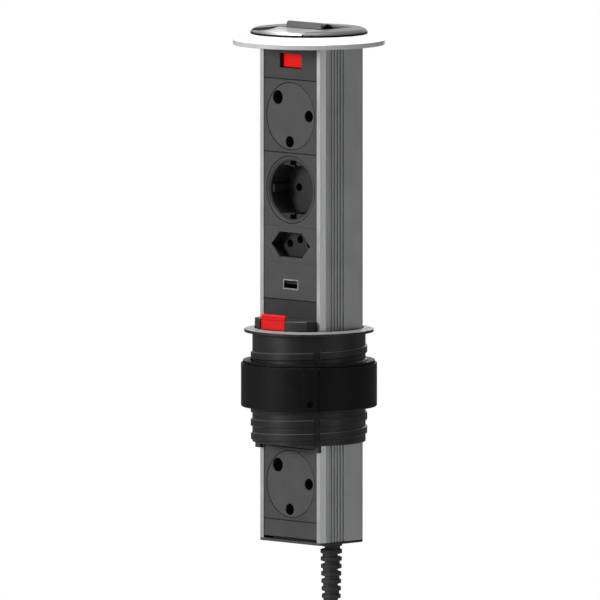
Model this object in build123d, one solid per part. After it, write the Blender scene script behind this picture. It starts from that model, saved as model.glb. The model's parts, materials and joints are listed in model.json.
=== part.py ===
from build123d import *
import math
import os

# Pop up desk socket: a column of socket modules that slides up through a threaded sleeve in a desk.
# Sizes are in millimetres and angles in degrees. +Z is up, the sockets face -Y, and the origin is
# the middle of the desk hole on the desk's upper surface. The column is drawn pulled right up.

# Clearances
overrun = 1.0  # how far a cut runs past the face that it opens
running_gap = 0.35  # between pieces that move past each other
seat_gap = 0.1  # between pieces that are fixed to each other

# Sleeve and flange
desk_thickness = 19.0
bore_radius = 36.6
sleeve_wall = 1.2
sleeve_length = 73.5
edge_chamfer = 0.3
flange_radius = 43.2
flange_thickness = 2.7  # at the bore
flange_rim = 1.8  # thickness at the outer edge
thread_height = 1.1
thread_pitch = 9.0
thread_root_width = 5.4
thread_crest_width = 4.2
thread_root_sink = 0.3
thread_top_depth = 7.0
thread_end_margin = 1.0
thread_start_angle = 230.0
keyway_angle = -37.0
keyway_width = 4.6
keyway_depth = 0.3
core_radius = bore_radius + sleeve_wall
crest_radius = core_radius + thread_height

# Washer and nut under the desk
washer_radius = 44.0
washer_thickness = 1.5
nut_radius = 45.4
nut_height = 29.0
nut_chamfer = 0.5
nut_rim_wall = 2.0
nut_hub_wall = 1.8
nut_pocket_count = 12
nut_pocket_angle = 24.0
nut_pocket_roof = 4.0
tab_angle = -44.0
tab_width = 10.2
tab_height = 0.7
tab_groove = 0.8
screw_rise = 5.1  # of the lock screw above the nut's lower face
screw_radius = 2.3
screw_length = 4.0
screw_recess = 1.2
screw_key = 2.5
washer_top = -desk_thickness
nut_top = washer_top - washer_thickness - running_gap
nut_bottom = nut_top - nut_height

# Column profile, an aluminium extrusion open at the front
strip_front = -17.8
strip_edge = 28.2  # half the width across the front strips
side_half = 29.2  # half the width across the flat sides
shoulder = 4.5  # how far the slanted corner runs back
column_depth = 41.0
rear_corner = 3.0
side_wall = 2.2
rear_wall = 2.0
lip_thickness = 2.2
opening_half = 25.0
groove_count = 5
groove_pitch = 2.8
groove_width = 1.5
groove_depth = 1.0
groove_middle = -2.65
port_radius = 1.65
port_wall = 1.25
port_inset = 5.0  # of a screw port's axis from the outer faces
rear_y = strip_front + column_depth
port_x = side_half - port_inset
port_y = rear_y - port_inset

# Module grid along the column
module_pitch = 24.6
latch_drop = 2.8  # of the latch module's lower edge below the desk surface
latch_row_count = 7  # rows from the top module down to that edge
last_row_count = 12  # rows down to the end cover
top_module_height = 22.7
end_cover_height = 11.7
end_slit = 1.5
joint_gap = 0.3
tight_gap = 0.06  # where two modules meet without a bevel
joint_chamfer = 0.35
panel_recess = 0.5
panel_thickness = 3.4
wing_thickness = 1.5
wing_half = 26.6
panel_front = strip_front + panel_recess
panel_back = panel_front + panel_thickness
panel_half = opening_half - seat_gap
column_top = latch_row_count * module_pitch - latch_drop + top_module_height

# Guides inside the sleeve
guide_height = 12.0
guide_depth = 2.0  # of the upper guides below the desk surface
side_guide_half = 13.0
rear_guide_half = 19.0
finger_length = 4.8
finger_reach = 4.6
finger_thickness = 2.8
brake_half = 6.0
brake_pad_thickness = 3.0
brake_room = 3.0
brake_height = 8.0
leaf_thickness = 0.4

# Socket inserts
insert_radius = 22.45
insert_gap = 0.3
frame_wall = 1.2
frame_collar_depth = 16.0
contact_wall = 0.8
tab_thickness = 0.8
contact_tab = 4.0
m_line_spacing = 25.4
m_earth_rise = 28.6
m_turn = 45.0  # the earth hole points up and to the left
m_line_hole = 3.9
m_earth_hole = 4.7
m_line_bore = 3.55
m_earth_bore = 4.4
m_insert_depth = 23.3
m_contact_start = 8.0
m_line_reach = 25.5
m_earth_reach = 30.0
pin_spacing = 19.0  # of the small round pins
pin_hole = 2.75
pin_bore = 2.45
boss_wall = 1.1
well_radius = 19.6
well_depth = 17.5
well_floor = 3.0
well_rim_radius = 21.2
well_rim_depth = 1.3
well_flat = 16.2
well_flat_start = 2.6
rib_width = 5.2
rib_reach = 1.9
clip_slot_half = 3.0
clip_half = 2.2
clip_thickness = 0.7
clip_bow = 0.5  # of the clip's spring beyond the flat
clip_start = 1.6
schuko_reach = 32.4
hexagon_half = 18.25
hexagon_flat_half = 10.5
hexagon_height = 16.8
hexagon_depth = 9.0
hexagon_wall = 1.6
hexagon_floor = 2.5
n_earth_rise = 3.0
n_boss_length = 5.8
n_reach = 29.0

# USB port
usb_drop = 1.8  # of the port below the middle of its module
usb_mouth_width = 12.5
usb_mouth_height = 5.1
usb_shell_wall = 0.4
usb_lip = 0.55
usb_lip_thickness = 0.5
usb_shell_depth = 14.0
usb_tongue_width = 11.1
usb_tongue_thickness = 1.8
usb_tongue_set = 1.0
usb_tongue_inset = 1.2
board_half = 18.4
board_thickness = 1.6
board_front = 4.2
rail_width = 3.0
rail_height = 6.0
rail_length = 24.0
rail_groove = 1.4
inductor_width = 13.0
inductor_depth = 12.0
inductor_height = 9.0
capacitor_radius = 3.5
capacitor_height = 8.0

# Foot block, release key and the red tab at the top
block_radius = 36.2
block_half = 24.5
block_top = 9.5
block_chamfer = 0.5
block_step = 0.9  # the block stands back by this much below its lower edge
block_step_top = 3.3
key_half = 11.1
key_side_gap = 0.8
key_front = -34.2
key_bottom = 3.0
key_height = 9.9
key_lip = 2.2  # thickness of the part that stands above the block
key_roof = 1.3  # of the block over the key
key_bevel = 1.0
key_groove_count = 2
key_groove_drop = 1.6  # of the upper groove below the key's top
key_groove_pitch = 2.0
key_groove_radius = 0.45
collar_reach = 1.7
collar_thickness = 1.5
bracket_wall = 1.5
leaf_room = 2.05
key_travel = 2.0
bracket_reach = running_gap + collar_thickness + key_travel + leaf_room + bracket_wall
key_top = key_bottom + key_height
key_body_top = block_top - key_roof - running_gap
button_half = 9.95
button_drop = 5.8  # of the red tab's upper edge below the column's top
button_height = 9.1
button_recess = 3.1
leaf_height = 4.0
button_bottom = column_top - button_drop - button_height

# Bars that carry the current up the column
bar_spacing = 16.5
bar_width = 5.0
bar_thickness = 1.0
bar_margin = 5.0
carrier_half = 19.6
carrier_base = 1.5
carrier_rib = 2.5
rear_inside = rear_y - rear_wall
carrier_back = rear_inside - seat_gap
carrier_front = carrier_back - carrier_base
bar_back = carrier_front - carrier_rib
bar_front = bar_back - bar_thickness

# Lower end: end plate, cord clamp and strain relief
end_plate_thickness = 1.8
end_tongue_height = 6.0
end_tongue_half = 20.0
end_screw_length = 14.0
end_screw_head = 3.0
end_screw_head_height = 1.0
cord_radius = 4.25
cord_bore_gap = 0.1
exit_x = 13.0
exit_y = 8.0
boot_head_radius = 8.0
boot_head_height = 2.6
boot_length = 50.0
boot_root_radius = 6.1
boot_tip_radius = 5.0
rib_pitch = 5.0
boot_rib_width = 2.5
boot_rib_root = 7.4
boot_rib_tip = 5.9
boot_slot_depth = 3.4
boot_slot_height = 1.6
boot_slot_angle = 45.0
clamp_width = 16.0
clamp_depth = 13.0
clamp_height = 4.8
clamp_screw_offset = 6.2
clamp_screw_radius = 0.9
clamp_screw_rise = 1.0
cord_inner_rise = 8.0
core_radius_wire = 1.1
core_offset = 2.2
core_first_angle = 150.0
core_pitch_angle = 120.0
core_bend = 1.6
core_step = 2.9
core_first_rise = 3.3
core_tail = 5.0
end_cover_top = column_top - top_module_height - last_row_count * module_pitch
end_plate_top = end_cover_top - end_cover_height - end_slit
end_plate_bottom = end_plate_top - end_plate_thickness
boot_end = end_plate_bottom - boot_length

# Free cord, its put away coil, tie and plug
coil_radius = 55.0
coil_gap = 0.7
half_turn_count = 4  # wound inwards before the coil crosses over
coil_below_boot = 2.0
coil_sample_count = 24  # points on each half turn, to measure its gap
coil_near_share = 6  # a stretch within this many radii along the cord isn't measured
tie_gap = 0.5
tie_thickness = 1.0
tie_width = 10.0
plug_lead_length = 12.0
plug_boot_length = 22.0
plug_boot_top_radius = 5.4
plug_boot_base_radius = 8.0
plug_radius = 25.0
plug_neck_radius = 10.0
plug_neck_rise = 27.0
plug_depth = 24.0
plug_edge = 3.0
pin_line_radius = 3.5
pin_earth_radius = 4.35
pin_line_length = 18.6
pin_earth_length = 28.6
pin_root = 6.0
pin_tip_chamfer = 0.8

# Cover disc and cap
disc_radius = 50.7
disc_thickness = 3.4  # at the rim
disc_chamfer = 0.3
crown_radius = 38.6  # of the disc's raised middle, at its top
crown_height = 4.0
riser_radius = 35.0
base_radius = 39.1
base_height = 1.1
shell_base_radius = 38.9
shell_top_radius = 36.0
shell_height = 2.3
shell_bulge = 0.3
dish_half = 24.4
dish_gap = 0.15
dish_end_gap = 0.8
dish_scoop = 1.9
dish_scoop_radius = 72.0
slot_half = 17.5
flap_half = 16.25
flap_length = 27.1
flap_thickness = 1.8
flap_lip = 4.4
flap_skirt = 1.2
flap_bevel = 1.4
flap_open = 9.3
arch_radius = 5.6  # of the opening in each skirt
arch_set = 7.1  # of its middle behind the flap's front
arch_drop = 1.6  # of its middle below the skirt
hinge_y = 22.0
hinge_drop = 1.5
barrel_radius = 1.5
pin_radius = 0.8
pin_running_gap = 0.05
pin_seat_gap = 0.03
pin_half = 21.0
slot_depth = 4.9
cap_screw_head = 3.0
cap_screw_head_height = 2.2
cap_screw_radius = 1.5
cap_screw_length = 22.0
disc_top = column_top + disc_thickness
riser_top = disc_top + crown_height
base_top = riser_top + base_height
cap_top = base_top + shell_height
hinge_z = cap_top - hinge_drop
slot_front = hinge_y - math.hypot(flap_length, flap_lip - hinge_drop) - running_gap
slot_back = hinge_y + barrel_radius + running_gap


def block(x, y, z):
    """A box from its low and high edge along each axis."""
    box = Box(x[1] - x[0], y[1] - y[0], z[1] - z[0], align=(Align.MIN, Align.MIN, Align.MIN))
    return Pos(x[0], y[0], z[0]) * box


def disc(radius, z_low, z_high, x=0, y=0):
    """An upright cylinder between two heights."""
    cylinder = Cylinder(radius, z_high - z_low, align=(Align.CENTER, Align.CENTER, Align.MIN))
    return Pos(x, y, z_low) * cylinder


def ring(outer, inner, z_low, z_high, x=0, y=0):
    """An upright tube between two heights."""
    return disc(outer, z_low, z_high, x, y) - disc(inner, z_low - overrun, z_high + overrun, x, y)


def turned(*points):
    """A solid turned about the upright axis from half its section, each point a radius and a height."""
    return revolve(Plane.XZ * make_face(Polyline(*points, close=True)), Axis.Z)


def front_solid(sketch, y_front, y_back):
    """The solid of a sketch seen from the front (x across, z up) between two depths."""
    plane = Plane(origin=(0, y_front, 0), x_dir=(1, 0, 0), z_dir=(0, -1, 0))
    return extrude(plane * sketch, amount=y_front - y_back)


def plan_solid(sketch, z_low, z_high):
    """The solid of a sketch seen from above between two heights."""
    return extrude(Pos(0, 0, z_low) * sketch, amount=z_high - z_low)


def span(a, b):
    """Two values in rising order."""
    return (min(a, b), max(a, b))


def both_sides(solid):
    """A solid and its mirror image across the middle plane x = 0."""
    return [solid, mirror(solid, about=Plane.YZ)]


def joint_line(row):
    """Height of a joint between modules, counted down from the top module."""
    return (latch_row_count - row) * module_pitch - latch_drop


def column_outline(gap):
    """The outside of the column in plan, grown by a gap."""
    points = [
        (-strip_edge, strip_front),
        (strip_edge, strip_front),
        (side_half, strip_front + shoulder),
        (side_half, rear_y),
        (-side_half, rear_y),
        (-side_half, strip_front + shoulder),
    ]
    face = make_face(Polyline(*points, close=True))
    face = fillet(face.vertices().group_by(Axis.Y)[-1], rear_corner)
    return offset(face, gap) if gap else face


def thread_ridge():
    """One coarse right-handed ridge that winds up the sleeve."""
    height = sleeve_length - thread_end_margin - thread_root_width - thread_top_depth
    helix = Helix(thread_pitch, height, core_radius)
    section = Polyline(
        (-thread_root_sink, -thread_root_width / 2),
        (thread_height, -thread_crest_width / 2),
        (thread_height, thread_crest_width / 2),
        (-thread_root_sink, thread_root_width / 2),
        close=True,
    )
    start = Plane(origin=helix @ 0, x_dir=(1, 0, 0), z_dir=helix % 0)
    ridge = sweep(start * make_face(section), path=helix, is_frenet=True)
    low = thread_end_margin + thread_root_width / 2 - sleeve_length
    return Pos(0, 0, low) * Rot(0, 0, thread_start_angle) * ridge


def keyway(width, inner, outer, z_low, z_high):
    """An upright bar at the keyway's angle, between two radii."""
    return Rot(0, 0, keyway_angle) * block((inner, outer), (-width / 2, width / 2), (z_low, z_high))


def threaded_sleeve():
    body = disc(core_radius, -sleeve_length, 0)
    body = chamfer(body.edges().group_by(Axis.Z)[0], edge_chamfer)
    flange = turned(
        (0, 0),
        (flange_radius, 0),
        (flange_radius, flange_rim - edge_chamfer),
        (flange_radius - edge_chamfer, flange_rim),
        (bore_radius, flange_thickness),
        (0, flange_thickness),
    )
    bore = disc(bore_radius, -sleeve_length - overrun, flange_thickness + overrun)
    slot_inner, slot_outer = core_radius - keyway_depth, crest_radius + overrun
    slot = keyway(keyway_width, slot_inner, slot_outer, -sleeve_length - overrun, -thread_top_depth)
    return body + flange + thread_ridge() - slot - bore


def guide_ring(z_low, z_high):
    """The space between the column and the sleeve's bore."""
    hole = plan_solid(column_outline(running_gap), z_low - overrun, z_high + overrun)
    return disc(bore_radius - seat_gap, z_low, z_high) - hole


def side_guides(z_low, z_high):
    band = block((-bore_radius, bore_radius), (-side_guide_half, side_guide_half), (z_low, z_high))
    return (guide_ring(z_low, z_high) & band).solids()


def rear_guide(z_low, z_high):
    back = block((-rear_guide_half, rear_guide_half), (0, bore_radius), (z_low, z_high))
    return guide_ring(z_low, z_high) & back


def rear_guides():
    """The upper guide has the brake's pocket, the lower one stops the column."""
    top = -guide_depth
    middle = top - guide_height / 2
    pocket_back = rear_y + running_gap + brake_pad_thickness + brake_room
    pocket = block(
        (-brake_half - seat_gap, brake_half + seat_gap),
        (rear_y, pocket_back),
        (middle - brake_height / 2 - seat_gap, middle + brake_height / 2 + seat_gap),
    )
    upper = rear_guide(top - guide_height, top) - pocket
    return [upper, rear_guide(-sleeve_length, guide_height - sleeve_length)]


def brake_pad():
    middle = -guide_depth - guide_height / 2
    front = rear_y + running_gap
    half = brake_height / 2
    y, z = (front, front + brake_pad_thickness), (middle - half, middle + half)
    pad = block((-brake_half, brake_half), y, z)
    return chamfer(pad.edges().filter_by(Axis.Z).group_by(Axis.Y)[0], edge_chamfer)


def leaf_spring(half, y_foot, y_tip, z_middle):
    """A leaf bent to a shallow V in plan, its feet at y_foot and its bend at y_tip."""
    push = leaf_thickness if y_tip > y_foot else -leaf_thickness
    inner = [(-half, y_foot), (0, y_tip - push), (half, y_foot)]
    outer = [(half, y_foot + push), (0, y_tip), (-half, y_foot + push)]
    strip = make_face(Polyline(*inner, *outer, close=True))
    return plan_solid(strip, z_middle - leaf_height / 2, z_middle + leaf_height / 2)


def brake_spring():
    foot = rear_y + running_gap + brake_pad_thickness + brake_room - seat_gap
    tip = rear_y + running_gap + brake_pad_thickness + seat_gap
    return leaf_spring(brake_half - edge_chamfer, foot, tip, -guide_depth - guide_height / 2)


def front_guides():
    """Fingers in front of the aluminium strips, with tips that hang below the sleeve."""
    gap = opening_half + running_gap / 2
    z_low, z_high = -sleeve_length, guide_height - sleeve_length
    back = strip_front - running_gap
    corner = block((gap, side_half), (-bore_radius, back), (z_low, z_high))
    wedge = disc(bore_radius - seat_gap, z_low, z_high) & corner
    finger = block((gap, gap + finger_reach), (back - finger_thickness, back), (z_low - finger_length, z_low))
    return both_sides(wedge + finger)


def thrust_washer():
    """A washer that a tongue in the keyway keeps from turning."""
    inner = crest_radius + running_gap
    body = ring(washer_radius, inner, washer_top - washer_thickness, washer_top)
    tongue = keyway(
        keyway_width - 2 * running_gap,
        core_radius + running_gap,
        inner + overrun,
        washer_top - washer_thickness,
        washer_top,
    )
    return body + tongue


def nut_pockets():
    """Pockets in the underside of the nut, all but the one behind the tab."""
    outer = nut_radius - nut_rim_wall
    inner = crest_radius + running_gap + nut_hub_wall
    half = math.radians(nut_pocket_angle / 2)
    reach = outer / math.cos(half)
    corner = (reach * math.cos(half), reach * math.sin(half))
    wedge = make_face(Polyline((0, 0), corner, (corner[0], -corner[1]), close=True))
    sector = (Circle(outer) - Circle(inner)) & wedge
    pocket = plan_solid(sector, nut_bottom - overrun, nut_top - nut_pocket_roof)
    step = 360 / nut_pocket_count
    return [Rot(0, 0, tab_angle + step * k) * pocket for k in range(1, nut_pocket_count)]


def radial_rod(radius, inner, outer, z):
    """A rod that points outwards at the tab's angle."""
    rod = Cylinder(radius, outer - inner, align=(Align.CENTER, Align.CENTER, Align.MIN))
    return Rot(0, 0, tab_angle) * Pos(inner, 0, z) * Rot(0, 90, 0) * rod


def ring_nut():
    body = disc(nut_radius, nut_bottom, nut_top)
    body = chamfer(body.edges().group_by(Axis.Z)[0], nut_chamfer)
    outer = nut_radius + tab_height
    tab = Rot(0, 0, tab_angle) * block((0, outer), (-tab_width / 2, tab_width / 2), (nut_bottom, nut_top))
    body += tab & disc(outer, nut_bottom, nut_top)
    groove = Rot(0, 0, tab_angle) * block(
        (nut_radius - tab_groove, nut_radius + overrun),
        (tab_width / 2, tab_width / 2 + tab_groove),
        (nut_bottom - overrun, nut_top + overrun),
    )
    inner = crest_radius + running_gap
    hole = radial_rod(screw_radius + seat_gap, inner - overrun, outer + overrun, nut_bottom + screw_rise)
    body -= disc(inner, nut_bottom - overrun, nut_top + overrun)
    return body - groove - hole - nut_pockets()


def nut_screw():
    """A grub screw with a hexagonal key hole, sunk in the nut's tab."""
    outer = nut_radius + tab_height - screw_recess
    z = nut_bottom + screw_rise
    key = extrude(RegularPolygon(screw_key / 2, 6, major_radius=False), amount=screw_length)
    key = Rot(0, 0, tab_angle) * Pos(outer - screw_key / 2, 0, z) * Rot(0, 90, 0) * key
    return radial_rod(screw_radius, outer - screw_length, outer, z) - key


def column_profile():
    """The extrusion: outer skin, front opening between two lips, side grooves and two screw ports."""
    bottom, top = end_plate_top, column_top
    inner_half = side_half - side_wall
    hollow = Pos(0, (strip_front + lip_thickness + rear_inside) / 2) * Rectangle(
        2 * inner_half, rear_inside - strip_front - lip_thickness
    )
    mouth = Pos(0, strip_front) * Rectangle(2 * opening_half, 2 * (lip_thickness + overrun))
    section = column_outline(0) - hollow - mouth
    for side in (-1, 1):
        section += Pos(side * port_x, port_y) * Circle(port_radius + port_wall)
        section += make_face(
            Polyline(
                (side * port_x, port_y),
                (side * (inner_half + side_wall / 2), port_y),
                (side * (inner_half + side_wall / 2), rear_inside + rear_wall / 2),
                (side * port_x, rear_inside + rear_wall / 2),
                close=True,
            )
        )
        for k in range(groove_count):
            y = groove_middle + (k - (groove_count - 1) / 2) * groove_pitch
            section -= Pos(side * side_half, y) * Rectangle(2 * groove_depth, groove_width)
    for side in (-1, 1):
        section -= Pos(side * port_x, port_y) * Circle(port_radius)
    return plan_solid(section, bottom, top)


def panel_plate(z_low, z_high, tight_low=False, tight_high=False):
    """A module's front plate with wings behind the profile's lips; a tight end has no bevel and hardly a gap."""
    low = z_low + (tight_gap if tight_low else joint_gap) / 2
    high = z_high - (tight_gap if tight_high else joint_gap) / 2
    front = block((-panel_half, panel_half), (panel_front, panel_back), (low, high))
    edges = front.edges().filter_by(Axis.X).group_by(Axis.Y)[0].sort_by(Axis.Z)
    bevelled = [edge for edge, tight in zip(edges, (tight_low, tight_high)) if not tight]
    if bevelled:
        front = chamfer(bevelled, joint_chamfer)
    wings = block((-wing_half, wing_half), (panel_back - wing_thickness, panel_back), (low, high))
    return front + wings


def spring_bracket(half, z_low, z_high):
    """A hoop behind a module's plate that a key's leaf spring pushes against."""
    back = panel_back + bracket_reach
    outer = half + bracket_wall
    hoop = block((-outer, outer), (panel_back - seat_gap, back), (z_low, z_high))
    z = (z_low - overrun, z_high + overrun)
    return hoop - block((-half, half), (panel_back - overrun, back - bracket_wall), z)


def key_collar(half, z_low, z_high):
    """The flange of a key behind its plate, which keeps it from falling out."""
    front = panel_back + running_gap
    reach = half + collar_reach
    return block((-reach, reach), (front, front + collar_thickness), (z_low, z_high))


def key_leaf(half, z_middle):
    """The leaf spring between a key's collar and its bracket."""
    foot = panel_back + bracket_reach - bracket_wall - seat_gap
    tip = panel_back + running_gap + collar_thickness + seat_gap
    return leaf_spring(half, foot, tip, z_middle)


def top_module():
    """The plate under the cover disc, with the window of the red tab."""
    low, high = button_bottom - running_gap, button_bottom + button_height + running_gap
    window = block(
        (-button_half - running_gap, button_half + running_gap),
        (panel_front - overrun, panel_back + overrun),
        (low, high),
    )
    plate = panel_plate(joint_line(0), column_top - joint_gap / 2) - window
    return plate + spring_bracket(button_half + collar_reach + running_gap, low + joint_gap, high - joint_gap)


def cover_button():
    low, high = button_bottom, button_bottom + button_height
    back = panel_back + running_gap + collar_thickness / 2
    face = block((-button_half, button_half), (panel_front + button_recess, back), (low, high))
    face = chamfer(face.edges().group_by(Axis.Y)[0], edge_chamfer)
    return face + key_collar(button_half, low, high)


def button_spring():
    return key_leaf(button_half, button_bottom + button_height / 2)


def latch_module():
    """The lowest module above the desk: its plate carries the foot block that the release key slides in."""
    low, high = joint_line(latch_row_count), joint_line(latch_row_count - 1)
    plate = panel_plate(low, high)
    reach = Pos(0, -block_radius / 2) * Rectangle(2 * block_half, block_radius)
    foot = plan_solid(Circle(block_radius) & reach, low + joint_gap, block_top)
    foot = chamfer(foot.edges().group_by(Axis.Z)[-1], block_chamfer)
    foot &= block((-block_half, block_half), (-block_radius, panel_back), (low, block_top))
    foot -= disc(block_radius + overrun, low, block_step_top) - disc(block_radius - block_step, low, block_step_top)
    x = (-key_half - key_side_gap, key_half + key_side_gap)
    front = -block_radius - overrun
    tunnel = block(x, (front, panel_back + overrun), (key_bottom - running_gap, key_body_top + running_gap))
    lip_back = key_front + key_lip + key_travel + running_gap
    notch = block(x, (front, lip_back), (key_bottom, block_top + overrun))
    bracket = spring_bracket(key_half + collar_reach + running_gap, key_bottom, key_body_top)
    return plate + foot - tunnel - notch + bracket


def release_key():
    """The red key: a lip above the block with two grip grooves, and a body that runs back under its roof."""
    x = (-key_half, key_half)
    lip = block(x, (key_front, key_front + key_lip), (key_bottom, key_top))
    lip = chamfer(lip.edges().group_by(Axis.Y)[0].group_by(Axis.Z)[-1], key_bevel)
    lip = chamfer(lip.edges().group_by(Axis.Y)[0].filter_by(Axis.Z), edge_chamfer)
    for k in range(key_groove_count):
        z = key_top - key_groove_drop - k * key_groove_pitch
        lip -= Pos(0, key_front, z) * Rot(0, 90, 0) * Cylinder(key_groove_radius, 2 * key_half + overrun)
    back = panel_back + running_gap + collar_thickness / 2
    body = block(x, (key_front + key_lip / 2, back), (key_bottom, key_body_top))
    return lip + body + key_collar(key_half, key_bottom, key_body_top)


def key_spring():
    return key_leaf(key_half, (key_bottom + key_body_top) / 2)


def socket_frame(z_middle, tight_low=False):
    """A double-height plate with the round seat of a 45 mm insert."""
    seat = insert_radius + insert_gap
    back = panel_front + frame_collar_depth
    plate = panel_plate(z_middle - module_pitch, z_middle + module_pitch, tight_low)
    collar = front_solid(Pos(0, z_middle) * Circle(seat + frame_wall), panel_back - seat_gap, back)
    hole = front_solid(Pos(0, z_middle) * Circle(seat), panel_front - overrun, back + overrun)
    return plate + collar - hole


def insert_body(z_middle, depth):
    """The round body of a socket insert, flush with the panel."""
    body = front_solid(Pos(0, z_middle) * Circle(insert_radius), panel_front, panel_front + depth)
    return chamfer(body.edges().group_by(Axis.Y)[0], joint_chamfer)


def contact(x, z, bore, y_start, y_end, bar_x):
    """A round contact with a tab and a leg that press on one of the bars."""
    tube = front_solid(Pos(x, z) * Circle(bore + contact_wall), y_start, y_end)
    z_tab = (z + bore, z + bore + contact_tab)
    left, right = span(x, bar_x)
    half = tab_thickness / 2
    tab = block((left - half, right + half), (y_end - tab_thickness, y_end), z_tab)
    leg = block((bar_x - half, bar_x + half), (y_end - tab_thickness, bar_front), z_tab)
    return tube + tab + leg - front_solid(Pos(x, z) * Circle(bore), y_start - overrun, y_end + overrun)


def m_pins(z_middle):
    """Earth, line and neutral of the three pin socket: x, z, face hole, bore, reach and bar."""
    half_line = m_line_spacing / 2
    earth_out = (m_earth_rise**2 + half_line**2) / (2 * m_earth_rise)
    line_out = m_earth_rise - earth_out
    c, s = math.cos(math.radians(m_turn)), math.sin(math.radians(m_turn))
    earth = (-earth_out * s, earth_out * c)
    line = (line_out * s + half_line * c, half_line * s - line_out * c)
    neutral = (line_out * s - half_line * c, -half_line * s - line_out * c)
    return [
        (earth[0], z_middle + earth[1], m_earth_hole, m_earth_bore, m_earth_reach, 0),
        (line[0], z_middle + line[1], m_line_hole, m_line_bore, m_line_reach, bar_spacing),
        (neutral[0], z_middle + neutral[1], m_line_hole, m_line_bore, m_line_reach, -bar_spacing),
    ]


def type_m_insert(z_middle):
    body = insert_body(z_middle, m_insert_depth)
    step = panel_front + m_contact_start
    for x, z, hole, bore, _, _ in m_pins(z_middle):
        mouth = front_solid(Pos(x, z) * Circle(hole), panel_front - overrun, step)
        seat = Circle(bore + contact_wall + seat_gap)
        back = panel_front + m_insert_depth + overrun
        body = body - mouth - front_solid(Pos(x, z) * seat, step - seat_gap, back)
    return body


def type_m_contacts(z_middle):
    start = panel_front + m_contact_start
    pins = m_pins(z_middle)
    return [contact(x, z, bore, start, panel_front + reach, bar_x) for x, z, _, bore, reach, bar_x in pins]


def well_outline(z_middle):
    """The deep part of the round well: flats above and below, with a slot for the earth clip in each."""
    round_part = Circle(well_radius - seat_gap) & Rectangle(2 * well_radius, 2 * well_flat)
    slots = Circle(well_rim_radius) & Rectangle(2 * clip_slot_half, 2 * (well_rim_radius + overrun))
    outline = round_part + slots
    for side in (-1, 1):
        outline -= Pos(side * well_radius, 0) * Rectangle(2 * rib_reach, rib_width)
    return Pos(0, z_middle) * outline


def well_mouth(z_middle):
    """The round mouth of the well, wider at the rim."""
    slope = (well_rim_radius - well_radius) / well_rim_depth
    cone = Cone(
        well_rim_radius + slope * overrun,
        well_radius,
        well_rim_depth + overrun,
        align=(Align.CENTER, Align.CENTER, Align.MIN),
    )
    wide = Pos(0, z_middle) * Circle(well_radius)
    front = panel_front - overrun
    taper = Pos(0, front, z_middle) * Rot(-90, 0, 0) * cone
    return taper + front_solid(wide, front, panel_front + well_flat_start)


def schuko_insert(z_middle):
    body = insert_body(z_middle, well_depth + well_floor)
    floor = panel_front + well_depth
    back = floor + well_floor
    for side in (-1, 1):
        boss = Pos(side * pin_spacing / 2, z_middle) * Circle(pin_bore + contact_wall + seat_gap + boss_wall)
        body += front_solid(boss, floor, back + well_floor)
    body -= well_mouth(z_middle)
    body -= front_solid(well_outline(z_middle), panel_front + well_flat_start - seat_gap, floor)
    for side in (-1, 1):
        centre = Pos(side * pin_spacing / 2, z_middle)
        body -= front_solid(centre * Circle(pin_hole), floor - overrun, back)
        seat = Circle(pin_bore + contact_wall + seat_gap)
        body -= front_solid(centre * seat, floor + contact_wall, back + well_floor + overrun)
        middle = z_middle + side * (well_flat - clip_bow + clip_thickness / 2)
        slot = Pos(0, middle) * Rectangle(2 * clip_slot_half, clip_thickness + 2 * clip_bow)
        body -= front_solid(slot, floor - overrun, back + overrun)
    return body


def schuko_earth_clip(z_middle):
    """One strip bent to a fork: two prongs in the well's slots and a bridge behind its floor."""
    back = panel_front + well_depth + well_floor + seat_gap
    inner = well_flat - clip_bow
    clip = block((-clip_half, clip_half), (back, back + clip_thickness), (z_middle - inner, z_middle + inner))
    for side in (-1, 1):
        prong = span(z_middle + side * inner, z_middle + side * (inner + clip_thickness))
        clip += block((-clip_half, clip_half), (panel_front + clip_start, back + clip_thickness), prong)
    half = tab_thickness / 2
    leg = block((-half, half), (back, bar_front), (z_middle - contact_tab / 2, z_middle + contact_tab / 2))
    return clip + leg


def schuko_contacts(z_middle):
    start = panel_front + well_depth + contact_wall + seat_gap
    end = panel_front + schuko_reach
    half = pin_spacing / 2
    return [contact(side * half, z_middle, pin_bore, start, end, side * bar_spacing) for side in (-1, 1)]


def n_pins(z_middle):
    half = pin_spacing / 2
    return [(-half, z_middle, -bar_spacing), (half, z_middle, bar_spacing), (0, z_middle + n_earth_rise, 0)]


def hexagon(grow):
    """The outline of the flat socket's recess, grown by a wall."""
    half, flat, rise = hexagon_half + grow, hexagon_flat_half + grow / 2, hexagon_height / 2 + grow
    upper = [(-half, 0), (-flat, rise), (flat, rise)]
    lower = [(half, 0), (flat, -rise), (-flat, -rise)]
    return make_face(Polyline(*upper, *lower, close=True))


def type_n_module():
    low, high = joint_line(5), joint_line(4)
    middle = (low + high) / 2
    floor = panel_front + hexagon_depth
    back = floor + hexagon_floor
    body = panel_plate(low, high, tight_low=True, tight_high=True)
    body += front_solid(Pos(0, middle) * hexagon(hexagon_wall), panel_back - seat_gap, back)
    seat = pin_bore + contact_wall + seat_gap
    for x, z, _ in n_pins(middle):
        body += front_solid(Pos(x, z) * Circle(seat + boss_wall), back - seat_gap, back + n_boss_length)
    body -= front_solid(Pos(0, middle) * hexagon(0), panel_front - overrun, floor)
    for x, z, _ in n_pins(middle):
        body -= front_solid(Pos(x, z) * Circle(pin_hole), floor - overrun, back)
        body -= front_solid(Pos(x, z) * Circle(seat), floor + contact_wall, back + n_boss_length + overrun)
    return body


def type_n_contacts():
    middle = (joint_line(5) + joint_line(4)) / 2
    start, end = panel_front + hexagon_depth + contact_wall + seat_gap, panel_front + n_reach
    return [contact(x, z, pin_bore, start, end, bar_x) for x, z, bar_x in n_pins(middle)]


def usb_middle():
    return (joint_line(6) + joint_line(5)) / 2 - usb_drop


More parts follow.
